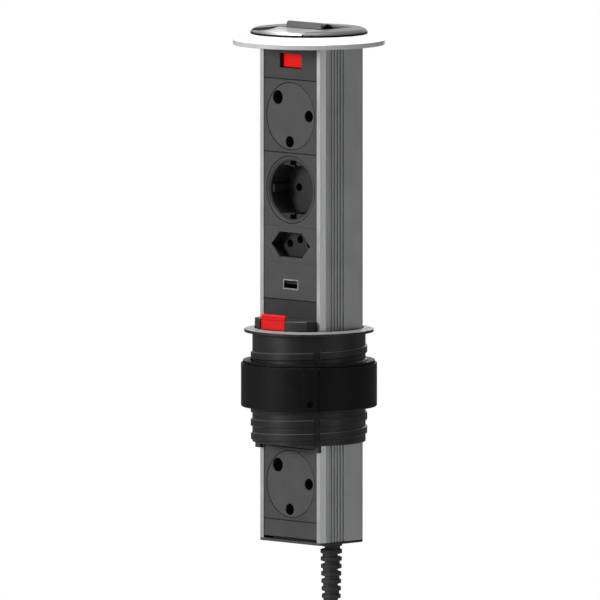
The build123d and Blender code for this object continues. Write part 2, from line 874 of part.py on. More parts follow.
def usb_frame(grow, y_front, y_back):
    """The port's mouth, grown by a wall, between two depths."""
    mouth = Rectangle(usb_mouth_width + 2 * grow, usb_mouth_height + 2 * grow)
    return front_solid(Pos(0, usb_middle()) * mouth, y_front, y_back)


def board_heights():
    """Lower and upper face of the converter board, just under the port's shell."""
    top = usb_middle() - usb_mouth_height / 2 - usb_shell_wall - seat_gap
    return top - board_thickness, top


def usb_module():
    plate = panel_plate(joint_line(6), joint_line(5), tight_high=True)
    lip_back = panel_front + usb_lip_thickness + seat_gap
    plate -= usb_frame(usb_shell_wall + usb_lip + seat_gap, panel_front - overrun, lip_back)
    plate -= usb_frame(usb_shell_wall + seat_gap, panel_front, panel_back + overrun)
    board_low, board_high = board_heights()
    middle = (board_low + board_high) / 2
    for side in (-1, 1):
        x = span(side * (board_half - rail_groove), side * (board_half + rail_width - rail_groove))
        z = (middle - rail_height / 2, middle + rail_height / 2)
        rail = block(x, (panel_back - seat_gap, panel_back + rail_length), z)
        x_groove = span(0, side * (board_half + seat_gap))
        z_groove = (board_low - seat_gap, board_high + seat_gap)
        plate += rail - block(x_groove, (panel_back, panel_back + rail_length + overrun), z_groove)
    return plate


def usb_shell():
    """The port's pressed steel shell with its turned-out lip."""
    tube = usb_frame(usb_shell_wall, panel_front, panel_front + usb_shell_depth)
    lip = usb_frame(usb_shell_wall + usb_lip, panel_front, panel_front + usb_lip_thickness)
    return tube + lip - usb_frame(0, panel_front - overrun, panel_front + usb_shell_depth - usb_shell_wall)


def usb_tongue():
    back = panel_front + usb_shell_depth - usb_shell_wall
    z = usb_middle() + usb_tongue_set
    half, thick = usb_tongue_width / 2, usb_tongue_thickness / 2
    return block((-half, half), (panel_front + usb_tongue_inset, back), (z - thick, z + thick))


def usb_board():
    """The converter board: its coil and capacitor, and a rear edge that meets the line and neutral bars."""
    low, high = board_heights()
    y_front = panel_back + board_front - rail_groove
    board = block((-board_half, board_half), (y_front, bar_front), (low, high))
    back = bar_front - rail_width
    board += block((-inductor_width, 0), (back - inductor_depth, back), (high, high + inductor_height))
    x_round = (inductor_width + capacitor_radius) / 2
    return board + disc(capacitor_radius, high, high + capacitor_height, x_round, back - inductor_depth / 2)


def bar_heights():
    """Lowest and highest point of the bars, inside the outer ends of the outermost sockets."""
    return end_cover_top + bar_margin, joint_line(0) - bar_margin


def bar(x):
    low, high = bar_heights()
    return block((x - bar_width / 2, x + bar_width / 2), (bar_front, bar_back), (low, high))


def bar_carrier():
    """The insulating strip on the profile's back wall, with a rib under each bar."""
    low, high = bar_heights()
    body = block((-carrier_half, carrier_half), (carrier_front, carrier_back), (low, high))
    for x in (-bar_spacing, 0, bar_spacing):
        body += block((x - bar_width / 2, x + bar_width / 2), (bar_back, carrier_back), (low, high))
    return body


def end_plate():
    """The plate under the column, with holes for the strain relief and the screws, and a tongue behind the cover."""
    plate = plan_solid(column_outline(0), end_plate_bottom, end_plate_top)
    plate = chamfer(plate.edges().group_by(Axis.Z)[0], edge_chamfer)
    tongue_front = panel_back + seat_gap
    plate += block(
        (-end_tongue_half, end_tongue_half),
        (tongue_front, tongue_front + wing_thickness),
        (end_plate_top, end_plate_top + end_tongue_height),
    )
    low, high = end_plate_bottom - overrun, end_plate_top + overrun
    plate -= disc(boot_root_radius + seat_gap, low, high, exit_x, exit_y)
    head_top = end_plate_bottom + end_screw_head_height
    for side in (-1, 1):
        x = side * port_x
        plate -= disc(port_radius, low, high, x, port_y)
        plate -= disc(end_screw_head + seat_gap, low, head_top, x, port_y)
    return plate


def end_screws():
    head_low = end_plate_bottom
    head_high = head_low + end_screw_head_height - seat_gap
    shank = cap_screw_radius
    return [
        disc(end_screw_head, head_low, head_high, side * port_x, port_y)
        + disc(shank, head_low, head_low + end_screw_length, side * port_x, port_y)
        for side in (-1, 1)
    ]


def cord_boot():
    """The ribbed strain relief: a head above the end plate, a tapering neck, ribs, and slots across it."""
    head_top = end_plate_top + boot_head_height
    head = disc(boot_head_radius, end_plate_top, head_top, exit_x, exit_y)
    neck = Cone(boot_tip_radius, boot_root_radius, boot_length, align=(Align.CENTER, Align.CENTER, Align.MIN))
    body = head + disc(boot_root_radius, end_plate_bottom, end_plate_top, exit_x, exit_y)
    body += Pos(exit_x, exit_y, boot_end) * neck
    count = int(boot_length // rib_pitch)
    for k in range(count):
        share = k / count
        radius = boot_rib_root + (boot_rib_tip - boot_rib_root) * share
        z = end_plate_bottom - k * rib_pitch
        body += disc(radius, z - boot_rib_width, z, exit_x, exit_y)
    for k in range(count - 1):
        z = end_plate_bottom - k * rib_pitch - (boot_rib_width + rib_pitch) / 2
        near = boot_root_radius - boot_slot_depth / 2
        side = 1 if k % 2 else -1
        slot = block(
            span(side * near, side * (boot_rib_root + overrun)),
            (-boot_root_radius, boot_root_radius),
            (z - boot_slot_height / 2, z + boot_slot_height / 2),
        )
        body -= Pos(exit_x, exit_y, 0) * Rot(0, 0, boot_slot_angle) * slot
    return body - disc(cord_radius + cord_bore_gap, boot_end - overrun, head_top + overrun, exit_x, exit_y)


def cord_top():
    """Height at which the sheathed cord ends inside the column."""
    return end_plate_top + cord_inner_rise


def cord_inner():
    """The stretch of cord inside the strain relief and the clamp."""
    return disc(cord_radius, boot_end, cord_top(), exit_x, exit_y)


def cord_clamp():
    low = end_plate_top + boot_head_height + seat_gap
    body = block(
        (exit_x - clamp_width / 2, exit_x + clamp_width / 2),
        (exit_y - clamp_depth / 2, exit_y + clamp_depth / 2),
        (low, low + clamp_height),
    )
    body = chamfer(body.edges().filter_by(Axis.Z), edge_chamfer)
    z_low, z_high = low - overrun, low + clamp_height + overrun
    for side in (-1, 1):
        body -= disc(clamp_screw_radius, z_low, z_high, exit_x + side * clamp_screw_offset, exit_y)
    return body - disc(cord_radius + cord_bore_gap, z_low, z_high, exit_x, exit_y)


def clamp_screws():
    low = end_plate_top + boot_head_height
    high = low + seat_gap + clamp_height
    shank = clamp_screw_radius - seat_gap
    return [
        disc(shank, low, high, x, exit_y)
        + disc(clamp_screw_radius + seat_gap, high, high + clamp_screw_rise, x, exit_y)
        for x in (exit_x - clamp_screw_offset, exit_x + clamp_screw_offset)
    ]


def core_wires():
    """The three cores from the cord's end to the lower ends of the bars."""
    low, _ = bar_heights()
    y_end = bar_front - seat_gap - core_radius_wire
    wires = []
    for k, x_end in enumerate((-bar_spacing, 0, bar_spacing)):
        turn = math.radians(core_first_angle - core_pitch_angle * k)
        x, y = exit_x + core_offset * math.cos(turn), exit_y + core_offset * math.sin(turn)
        start = Vector(x, y, cord_top())
        level = cord_top() + core_first_rise + core_step * (k % 2)
        points = [start, (start.X, start.Y, level), (x_end, y_end, level), (x_end, y_end, low + core_tail)]
        path = FilletPolyline(*points, radius=core_bend)
        section = Plane(origin=path @ 0, z_dir=path % 0) * Circle(core_radius_wire)
        wires.append(sweep(section, path=path))
    return wires


def pull_out_stop():
    """A block on the back of the profile that meets the lower rear guide when the column is right up."""
    top = -sleeve_length - running_gap
    half = brake_half
    body = block((-half, half), (rear_y, rear_y + brake_pad_thickness), (top - brake_height, top))
    return chamfer(body.edges().filter_by(Axis.Z).group_by(Axis.Y)[-1], edge_chamfer)


def cover_disc():
    """The white cover: a rim and a shallow cone up to the cap, with a pocket for the riser."""
    body = turned(
        (0, column_top),
        (disc_radius - disc_chamfer, column_top),
        (disc_radius, column_top + disc_chamfer),
        (disc_radius, disc_top - disc_chamfer),
        (disc_radius - disc_chamfer, disc_top),
        (crown_radius, riser_top),
        (0, riser_top),
    )
    body -= disc(riser_radius + seat_gap, disc_top, riser_top + overrun)
    for side in (-1, 1):
        body -= disc(port_radius, column_top - overrun, disc_top + overrun, side * port_x, port_y)
    return body


def flap_slot(z_low):
    """The slot in the cap that the grip flap drops into, from a height upwards."""
    return block((-slot_half, slot_half), (slot_front, slot_back), (z_low, cap_top + overrun))


def dish_space(gap, end_gap):
    """The front of the cap's shell, where the finger dish lies, less a gap below it and at its ends."""
    return block(
        (-dish_half + end_gap, dish_half - end_gap),
        (-base_radius - overrun, slot_front),
        (base_top + gap, cap_top + overrun),
    )


def cap_riser():
    body = disc(riser_radius, disc_top, riser_top) - flap_slot(cap_top - slot_depth)
    for side in (-1, 1):
        x = side * port_x
        body -= disc(port_radius, disc_top - overrun, riser_top + overrun, x, port_y)
        head_low = riser_top - cap_screw_head_height - seat_gap
        body -= disc(cap_screw_head + seat_gap, head_low, riser_top + overrun, x, port_y)
    return body


def cap_screws():
    low = riser_top - cap_screw_head_height - seat_gap
    return [
        disc(cap_screw_head, low, riser_top - seat_gap, side * port_x, port_y)
        + disc(cap_screw_radius, riser_top - cap_screw_length, low, side * port_x, port_y)
        for side in (-1, 1)
    ]


def hinge_rod(radius, half):
    """A rod on the flap's hinge line."""
    return Pos(0, hinge_y, hinge_z) * Rot(0, 90, 0) * Cylinder(radius, 2 * half)


def cap_base():
    body = disc(base_radius, riser_top, base_top) - flap_slot(riser_top - overrun)
    return body - hinge_rod(pin_radius + pin_seat_gap, pin_half + seat_gap)


def cap_dome():
    """The cap's whole top with its rounded edge, before the slot and the dish are cut."""
    edge, top = (shell_base_radius, base_top), (shell_top_radius, cap_top)
    middle = ((edge[0] + top[0]) / 2 + shell_bulge, (edge[1] + top[1]) / 2 + shell_bulge)
    round_part = ThreePointArc(edge, middle, top)
    straight_part = Polyline(top, (0, cap_top), (0, base_top), edge)
    return revolve(Plane.XZ * make_face(round_part.edges() + straight_part.edges()), Axis.Z)


def cap_shell():
    body = cap_dome() - flap_slot(base_top - overrun) - dish_space(-overrun, 0)
    return body - hinge_rod(pin_radius + pin_seat_gap, pin_half + seat_gap)


def finger_dish():
    """The polished dish in front of the flap, hollowed for the fingertip."""
    body = cap_dome() & dish_space(dish_gap, dish_end_gap)
    middle = (slot_front - shell_top_radius) / 2
    scoop = Rot(0, 90, 0) * Cylinder(dish_scoop_radius, 2 * base_radius)
    return body - Pos(0, middle, cap_top - dish_scoop + dish_scoop_radius) * scoop


def grip_flap():
    """The flap: a plate with a front lip and two arched skirts, drawn closed and then lifted to its rest."""
    front = hinge_y - flap_length
    low = cap_top - flap_lip
    body = block((-flap_half, flap_half), (front, hinge_y), (low, cap_top))
    inside = (-flap_half + flap_skirt, flap_half - flap_skirt)
    z = (low - overrun, cap_top - flap_thickness)
    body -= block(inside, (front + flap_thickness, hinge_y + overrun), z)
    top_edges = body.edges().group_by(Axis.Z)[-1]
    body = chamfer(top_edges.filter_by(Axis.Y), flap_bevel)
    body = chamfer(body.edges().group_by(Axis.Z)[-1].group_by(Axis.Y)[0], edge_chamfer)
    for side in (-1, 1):
        x = side * (flap_half - flap_skirt / 2 + overrun / 2)
        arch = Rot(0, 90, 0) * Cylinder(arch_radius, flap_skirt + overrun)
        body -= Pos(x, front + arch_set, low - arch_drop) * arch
    body += hinge_rod(barrel_radius, flap_half)
    body -= hinge_rod(pin_radius + pin_running_gap, flap_half + overrun)
    return Pos(0, hinge_y, hinge_z) * Rot(-flap_open, 0, 0) * Pos(0, -hinge_y, -hinge_z) * body


def flap_pin():
    return hinge_rod(pin_radius, pin_half)


def coil_step():
    return 2 * cord_radius + coil_gap


def coil_middle():
    """The centre of the coil's first turn: x and z."""
    z = boot_end - coil_below_boot - coil_radius - coil_step() / 2 - cord_radius
    return exit_x - coil_radius, z


def coil_points():
    """The coil's points at three and nine o'clock: two turns in, a half turn across, and out again."""
    x, z = coil_middle()
    step = coil_step()
    points = []
    inwards = [*range(half_turn_count + 2), *range(half_turn_count - 1, -2, -1)]
    for k, inward in enumerate(inwards):
        side = -1 if k % 2 else 1
        y = exit_y if k <= half_turn_count else exit_y + step
        points.append(Vector(x + side * (coil_radius - inward * step / 2), y, z))
    return points


def coil_edges():
    """Half turns, under the middle and over it by turns, with a straight end at either side."""
    points = coil_points()
    lead = Vector(0, 0, 2 * cord_radius)
    edges = [Line(points[0] + lead, points[0])]
    for k, (a, b) in enumerate(zip(points, points[1:])):
        rise = (b - a).length / 2 * (1 if k % 2 else -1)
        edges.append(ThreePointArc(a, (a + b) / 2 + Vector(0, 0, rise), b))
    edges.append(Line(points[-1], points[-1] - lead))
    return edges


def cord_coil():
    path = Wire(coil_edges())
    section = Plane(origin=path @ 0, z_dir=path % 0) * Circle(cord_radius)
    return sweep(section, path=path)


def coil_self_gap():
    """The least clear distance between two stretches of the coil, measured on points along it."""
    points, along, total = [], [], 0
    for edge in coil_edges():
        for k in range(coil_sample_count):
            share = k / coil_sample_count
            points.append(edge @ share)
            along.append(total + edge.length * share)
        total += edge.length
    apart = coil_near_share * cord_radius
    least = min(
        (p - q).length
        for i, p in enumerate(points)
        for j, q in enumerate(points[:i])
        if along[i] - along[j] > apart
    )
    return least - 2 * cord_radius, total


def power_cord():
    """The free stretch from the strain relief straight down to the coil."""
    return disc(cord_radius, coil_middle()[1] + 2 * cord_radius, boot_end, exit_x, exit_y)


def coil_tie():
    """A strap round the bundle at nine o'clock."""
    x, z = coil_middle()
    reach = cord_radius + tie_gap
    outer, inner = coil_radius + reach, coil_radius - (half_turn_count + 1) * coil_step() / 2 - reach
    width, depth = outer - inner, coil_step() + 2 * reach
    centre = Pos(x - (outer + inner) / 2, exit_y + coil_step() / 2)
    hole = RectangleRounded(width, depth, reach)
    strap = RectangleRounded(width + 2 * tie_thickness, depth + 2 * tie_thickness, reach + tie_thickness)
    return plan_solid(centre * (strap - hole), z - tie_width / 2, z + tie_width / 2)


def tail_place():
    """Where the coil's far end leaves it: x, y and z."""
    end = coil_points()[-1]
    return end.X, end.Y, end.Z - 2 * cord_radius


def plug_lead():
    x, y, z = tail_place()
    return disc(cord_radius, z - plug_lead_length, z, x, y)


def plug_top():
    return tail_place()[2] - plug_lead_length - plug_boot_length


def plug_boot():
    x, y, _ = tail_place()
    upright = (Align.CENTER, Align.CENTER, Align.MIN)
    cone = Cone(plug_boot_base_radius, plug_boot_top_radius, plug_boot_length, align=upright)
    return Pos(x, y, plug_top()) * cone


def plug_pin_places():
    """Earth up, line and neutral below, about the plug's middle."""
    x, _, _ = tail_place()
    z = plug_top() - plug_neck_radius - plug_neck_rise
    half_line = m_line_spacing / 2
    earth_out = (m_earth_rise**2 + half_line**2) / (2 * m_earth_rise)
    line_z = z + earth_out - m_earth_rise
    return [
        (x, z + earth_out, pin_earth_radius, pin_earth_length),
        (x - half_line, line_z, pin_line_radius, pin_line_length),
        (x + half_line, line_z, pin_line_radius, pin_line_length),
    ]


def plug_body():
    x, y, _ = tail_place()
    z = plug_top() - plug_neck_radius - plug_neck_rise
    neck = Pos(0, plug_neck_rise) * Circle(plug_neck_radius)
    outline = make_hull(Circle(plug_radius).edges() + neck.edges())
    front = y - plug_depth / 2
    body = front_solid(Pos(x, z) * outline, front, front + plug_depth)
    body = fillet(body.edges().group_by(Axis.Y)[0] + body.edges().group_by(Axis.Y)[-1], plug_edge)
    for px, pz, radius, _ in plug_pin_places():
        body -= front_solid(Pos(px, pz) * Circle(radius + seat_gap), front - overrun, front + pin_root)
    return body


def plug_pins():
    _, y, _ = tail_place()
    front = y - plug_depth / 2
    pins = []
    for px, pz, radius, length in plug_pin_places():
        pin = front_solid(Pos(px, pz) * Circle(radius), front - length, front + pin_root)
        pins.append(chamfer(pin.edges().group_by(Axis.Y)[0], pin_tip_chamfer))
    return pins


def solids_of(made):
    """All the solids in a shape or in nested lists of shapes."""
    if isinstance(made, (list, ShapeList)):
        return [solid for item in made for solid in solids_of(item)]
    return list(made.solids())


def save(name, made):
    """Writes one named piece, or one group of like pieces, to its own file."""
    parts = solids_of(made)
    export_step(parts[0] if len(parts) == 1 else Compound(parts), f"parts/{name}.step")


def main():
    os.makedirs("parts", exist_ok=True)
    upper_m, schuko, lower_m = joint_line(1), joint_line(3), joint_line(last_row_count - 1)
    pieces = {
        "threaded_sleeve": threaded_sleeve(),
        "side_guides": [
            side_guides(-guide_depth - guide_height, -guide_depth),
            side_guides(-sleeve_length, guide_height - sleeve_length),
        ],
        "rear_guides": rear_guides(),
        "front_guides": front_guides(),
        "brake_pad": brake_pad(),
        "brake_spring": brake_spring(),
        "thrust_washer": thrust_washer(),
        "ring_nut": ring_nut(),
        "nut_screw": nut_screw(),
        "column_profile": column_profile(),
        "top_module": top_module(),
        "cover_button": cover_button(),
        "button_spring": button_spring(),
        "type_m_frame_upper": socket_frame(upper_m),
        "type_m_insert_upper": type_m_insert(upper_m),
        "type_m_contacts": type_m_contacts(upper_m) + type_m_contacts(lower_m),
        "schuko_frame": socket_frame(schuko, tight_low=True),
        "schuko_insert": schuko_insert(schuko),
        "schuko_earth_clip": schuko_earth_clip(schuko),
        "schuko_contacts": schuko_contacts(schuko),
        "type_n_module": type_n_module(),
        "type_n_contacts": type_n_contacts(),
        "usb_module": usb_module(),
        "usb_shell": usb_shell(),
        "usb_tongue": usb_tongue(),
        "usb_board": usb_board(),
        "latch_module": latch_module(),
        "release_key": release_key(),
        "key_spring": key_spring(),
        "blank_covers": [
            panel_plate(joint_line(latch_row_count + 1), joint_line(latch_row_count)),
            panel_plate(joint_line(last_row_count - 2), joint_line(latch_row_count + 1)),
        ],
        "type_m_frame_lower": socket_frame(lower_m),
        "type_m_insert_lower": type_m_insert(lower_m),
        "end_cover": panel_plate(end_plate_top + end_slit, end_cover_top),
        "end_plate": end_plate(),
        "end_screws": end_screws(),
        "line_bar": bar(bar_spacing),
        "neutral_bar": bar(-bar_spacing),
        "earth_bar": bar(0),
        "bar_carrier": bar_carrier(),
        "core_wires": core_wires(),
        "cord_inner": cord_inner(),
        "cord_clamp": cord_clamp(),
        "clamp_screws": clamp_screws(),
        "cord_boot": cord_boot(),
        "pull_out_stop": pull_out_stop(),
        "cover_disc": cover_disc(),
        "cap_riser": cap_riser(),
        "cap_base": cap_base(),
        "cap_shell": cap_shell(),
        "finger_dish": finger_dish(),
        "cap_screws": cap_screws(),
        "grip_flap": grip_flap(),
        "flap_pin": flap_pin(),
        "power_cord": power_cord(),
        "cord_coil": cord_coil(),
        "coil_tie": coil_tie(),
        "plug_lead": plug_lead(),
        "plug_boot": plug_boot(),
        "plug_body": plug_body(),
        "plug_pins": plug_pins(),
    }
    for name, made in pieces.items():
        save(name, made)
    gap, length = coil_self_gap()
    print("coil: cord radius", cord_radius, "length", round(length, 1), "least gap to itself", round(gap, 2))
    volume = pieces["cord_coil"].volume
    print("coil: volume over section times length", round(volume / (math.pi * cord_radius**2 * length), 4))


main()
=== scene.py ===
import json
import math

import bpy
from mathutils import Matrix, Vector


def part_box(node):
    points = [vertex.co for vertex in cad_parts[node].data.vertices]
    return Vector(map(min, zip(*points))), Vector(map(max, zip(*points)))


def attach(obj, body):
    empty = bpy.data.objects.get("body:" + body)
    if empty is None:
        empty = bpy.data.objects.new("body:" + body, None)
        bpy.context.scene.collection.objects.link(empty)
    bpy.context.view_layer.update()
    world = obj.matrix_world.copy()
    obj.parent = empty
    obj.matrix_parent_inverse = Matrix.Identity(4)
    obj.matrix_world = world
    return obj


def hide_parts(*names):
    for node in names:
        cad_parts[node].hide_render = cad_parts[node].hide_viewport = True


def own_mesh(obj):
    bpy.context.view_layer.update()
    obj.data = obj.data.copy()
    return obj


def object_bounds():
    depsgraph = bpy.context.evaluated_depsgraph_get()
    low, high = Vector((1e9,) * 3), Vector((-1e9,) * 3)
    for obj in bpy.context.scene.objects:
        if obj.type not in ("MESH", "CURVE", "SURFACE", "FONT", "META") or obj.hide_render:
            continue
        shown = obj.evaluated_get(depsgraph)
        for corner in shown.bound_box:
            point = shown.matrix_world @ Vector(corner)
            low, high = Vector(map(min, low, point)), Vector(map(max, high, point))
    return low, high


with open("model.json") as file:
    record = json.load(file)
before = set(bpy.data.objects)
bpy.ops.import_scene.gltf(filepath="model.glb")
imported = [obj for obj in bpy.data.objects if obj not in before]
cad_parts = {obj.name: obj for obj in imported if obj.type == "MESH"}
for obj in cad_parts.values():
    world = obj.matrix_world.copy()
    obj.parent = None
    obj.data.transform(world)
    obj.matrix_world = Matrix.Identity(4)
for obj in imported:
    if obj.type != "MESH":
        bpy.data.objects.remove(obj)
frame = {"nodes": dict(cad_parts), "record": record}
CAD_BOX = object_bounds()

MM = 0.001
NODES = frame["nodes"]
scene = bpy.context.scene
scene.view_settings.view_transform = "Standard"

# Camera

VIEW_AZIMUTH = math.radians(45.0)
VIEW_ELEVATION = math.radians(5.45)
VIEW_WIDTH = 0.400  # metres across the frame at the object
VIEW_ORIGIN = Vector((0, 0, 1.2 * MM))
VIEW_RIGHT_SHIFT = -6.0 * MM  # of the picture's middle from there
VIEW_UP_SHIFT = 19.47 * MM
LENS = 1500.0  # long enough for the photograph's nearly parallel lines
SENSOR = 36.0
CLIP_START, CLIP_END = 0.1, 300.0


def direction(azimuth, elevation):
    """A unit vector from the object towards a camera or light at these angles in radians."""
    flat = math.cos(elevation)
    return Vector((math.sin(azimuth) * flat, -math.cos(azimuth) * flat, math.sin(elevation)))


def make_camera():
    """The photograph's viewpoint: from the front right, a little above."""
    back = direction(VIEW_AZIMUTH, VIEW_ELEVATION)
    right = Vector((math.cos(VIEW_AZIMUTH), math.sin(VIEW_AZIMUTH), 0))
    up = back.cross(right)
    target = VIEW_ORIGIN + right * VIEW_RIGHT_SHIFT + up * VIEW_UP_SHIFT
    data = bpy.data.cameras.new("camera")
    data.lens = LENS
    data.sensor_width = SENSOR
    data.clip_start = CLIP_START
    data.clip_end = CLIP_END
    camera = bpy.data.objects.new("camera", data)
    turn = Matrix((right, up, back)).transposed()
    place = target + back * (VIEW_WIDTH * LENS / SENSOR)
    camera.matrix_world = Matrix.Translation(place) @ turn.to_4x4()
    scene.collection.objects.link(camera)
    scene.camera = camera


make_camera()

# Materials

PANEL_FRONT = -17.3 * MM  # the modules' front face
SLOT_LOW = (-17.7 * MM, -5.8 * MM, 190.0 * MM)  # lowest corner of the slot under the grip flap
SLOT_HIGH = (17.7 * MM, 24.0 * MM, 202.35 * MM)  # its highest, just below the shell's top
FLAP_HALF = 15.2 * MM  # from the middle to just past the inner faces of the flap's skirts; the flap's underside within this is painted black as shade
DISH_HALF = 23.5 * MM  # from the middle to just short of the dish's end faces, which beyond this are painted black as shade
# Black painted where a hollow only lies in shade.
SHADE_BLACK = (0.002, 0.002, 0.002)
CLOUD_SCALE, WEAR_SCALE, PATCH_SCALE = 60.0, 400.0, 110.0  # of the plastics' noises
LINE_SCALE = (900.0, 900.0, 900.0)  # of the metals' brush lines, where none is given
SMUDGE_SCALE = 45.0
PLASTIC_EDGE_GAIN, METAL_EDGE_GAIN, COLUMN_EDGE_GAIN = 3.0, 2.5, 2.0
COAT_ROUGHNESS = 0.12
RECESS_SHADE_START, RECESS_SHADE_FULL = 0.3 * MM, 1.5 * MM  # depths between which the painted shade of a recess fades in
UPWARD_START, UPWARD_FULL = 0.75, 0.98  # of the normal's rise, for the grey painted on faces that look up, as dusting and painted light
# Below this rise a lid's underside is painted black as shade.
UNDERSIDE_RISE = 0.1
COLUMN_DARK, COLUMN_LIGHT = (0.45, 0.46, 0.465), (0.54, 0.545, 0.55)
COLUMN_LINES = (2200.0, 2200.0, 9.0)  # drawn along the column
COLUMN_SMUDGE_SCALE = 30.0
COLUMN_ROUGHNESS = (0.34, 0.44)
COLUMN_EDGE_RADIUS = 0.35 * MM
COLUMN_LINE_DEPTH = 0.02 * MM


def new_material(name):
    """A material with its node tree, its shader and the object's own coordinates."""
    mat = bpy.data.materials.new(name)
    mat.use_nodes = True
    tree = mat.node_tree
    shader = tree.nodes["Principled BSDF"]
    coords = tree.nodes.new("ShaderNodeTexCoord")
    return mat, tree, shader, coords.outputs["Object"]


def noise(tree, coords, scale, detail=3.0, rough=0.55, stretch=None):
    """Noise, drawn out where stretch gives a scale for each axis."""
    if stretch is not None:
        mapping = tree.nodes.new("ShaderNodeMapping")
        mapping.inputs["Scale"].default_value = stretch
        tree.links.new(coords, mapping.inputs["Vector"])
        coords = mapping.outputs["Vector"]
    node = tree.nodes.new("ShaderNodeTexNoise")
    node.inputs["Scale"].default_value = scale
    node.inputs["Detail"].default_value = detail
    node.inputs["Roughness"].default_value = rough
    tree.links.new(coords, node.inputs["Vector"])
    return node.outputs["Fac"]


def remap(tree, value, low, high, start=0.3, end=0.7):
    """low where the value is start, high where it is end, and clamped beyond.

    Most of a noise's values lie between the start and end given here.
    """
    node = tree.nodes.new("ShaderNodeMapRange")
    node.inputs["From Min"].default_value = start
    node.inputs["From Max"].default_value = end
    node.inputs["To Min"].default_value = low
    node.inputs["To Max"].default_value = high
    tree.links.new(value, node.inputs["Value"])
    return node.outputs["Result"]


def mix_color(tree, factor, first, second):
    """The first colour where the factor is zero, and the second where it is one."""
    node = tree.nodes.new("ShaderNodeMix")
    node.data_type = "RGBA"
    for socket, value in ((node.inputs[6], first), (node.inputs[7], second)):
        if isinstance(value, tuple):
            socket.default_value = (*value, 1.0)
        else:
            tree.links.new(value, socket)
    tree.links.new(factor, node.inputs[0])
    return node.outputs[2]


def math_node(tree, operation, first, second=None):
    """One step of arithmetic on numbers or on other nodes' values."""
    node = tree.nodes.new("ShaderNodeMath")
    node.operation = operation
    for socket, value in zip(node.inputs, (first, second)):
        if value is None:
            continue
        if isinstance(value, (int, float)):
            socket.default_value = value
        else:
            tree.links.new(value, socket)
    return node.outputs[0]


def axes(tree, vector):
    """A vector's X, Y and Z."""
    split = tree.nodes.new("ShaderNodeSeparateXYZ")
    tree.links.new(vector, split.inputs[0])
    return split.outputs


def normal_rise(tree):
    """How far a face looks up, from minus one to one."""
    geometry = tree.nodes.new("ShaderNodeNewGeometry")
    return axes(tree, geometry.outputs["Normal"])["Z"]


def off_middle(tree, coords):
    """The distance to the left or right of the object's middle."""
    return math_node(tree, "ABSOLUTE", axes(tree, coords)["X"])


def edge_mask(tree, radius, gain):
    """Near one along sharp edges, worked out from a rounded normal, and that normal."""
    bevel = tree.nodes.new("ShaderNodeBevel")
    bevel.samples = 4
    bevel.inputs["Radius"].default_value = radius
    geometry = tree.nodes.new("ShaderNodeNewGeometry")
    dot = tree.nodes.new("ShaderNodeVectorMath")
    dot.operation = "DOT_PRODUCT"
    tree.links.new(bevel.outputs["Normal"], dot.inputs[0])
    tree.links.new(geometry.outputs["Normal"], dot.inputs[1])
    drop = math_node(tree, "SUBTRACT", 1.0, dot.outputs["Value"])
    mask = math_node(tree, "MULTIPLY", drop, gain)
    clamp = tree.nodes.new("ShaderNodeClamp")
    tree.links.new(mask, clamp.inputs["Value"])
    return clamp.outputs["Result"], bevel.outputs["Normal"]


def recess_shade_mask(tree, coords):
    """One behind the panel's front face, in recesses and holes, where they get painted shade, and zero
    on it.
    """
    depth = axes(tree, coords)["Y"]
    return remap(tree, depth, 0.0, 1.0, PANEL_FRONT + RECESS_SHADE_START, PANEL_FRONT + RECESS_SHADE_FULL)


def upward_mask(tree):
    """One on faces that look up, which get grey for dusting and as painted light."""
    return remap(tree, normal_rise(tree), 0.0, 1.0, UPWARD_START, UPWARD_FULL)


def shade_box_mask(tree, coords, low, high):
    """One within the box between two corners given in metres, where a hollow is painted black as shade.
    """
    place = axes(tree, coords)
    share = 1.0
    for axis, bottom, top in zip("XYZ", low, high):
        above = math_node(tree, "GREATER_THAN", place[axis], bottom)
        below = math_node(tree, "LESS_THAN", place[axis], top)
        share = math_node(tree, "MULTIPLY", math_node(tree, "MULTIPLY", above, below), share)
    return share


def underside_shade_mask(tree, coords, half):
    """One within half a width of the middle on faces that don't look up, where a lid's underside is
    painted black as shade.
    """
    within = math_node(tree, "LESS_THAN", off_middle(tree, coords), half)
    down = math_node(tree, "LESS_THAN", normal_rise(tree), UNDERSIDE_RISE)
    return math_node(tree, "MULTIPLY", within, down)


def bump(tree, height, strength, distance, normal):
    """A normal that follows the height, on top of another normal."""
    node = tree.nodes.new("ShaderNodeBump")
    node.inputs["Strength"].default_value = strength
    node.inputs["Distance"].default_value = distance
    tree.links.new(height, node.inputs["Height"])
    tree.links.new(normal, node.inputs["Normal"])
    return node.outputs["Normal"]


def grey(value):
    """A colour without a hue."""
    return (value, value, value)


def scaled(color, factor, lift=0.0):
    """A colour made lighter or darker, at most white."""
    return tuple(min(1.0, c * factor + lift) for c in color)


def mottled(tree, value, color, mottle):
    """A colour that a noise makes a little darker and lighter."""
    shade = remap(tree, value, 0.0, 1.0)
    return mix_color(tree, shade, scaled(color, 1 - mottle), scaled(color, 1 + mottle))


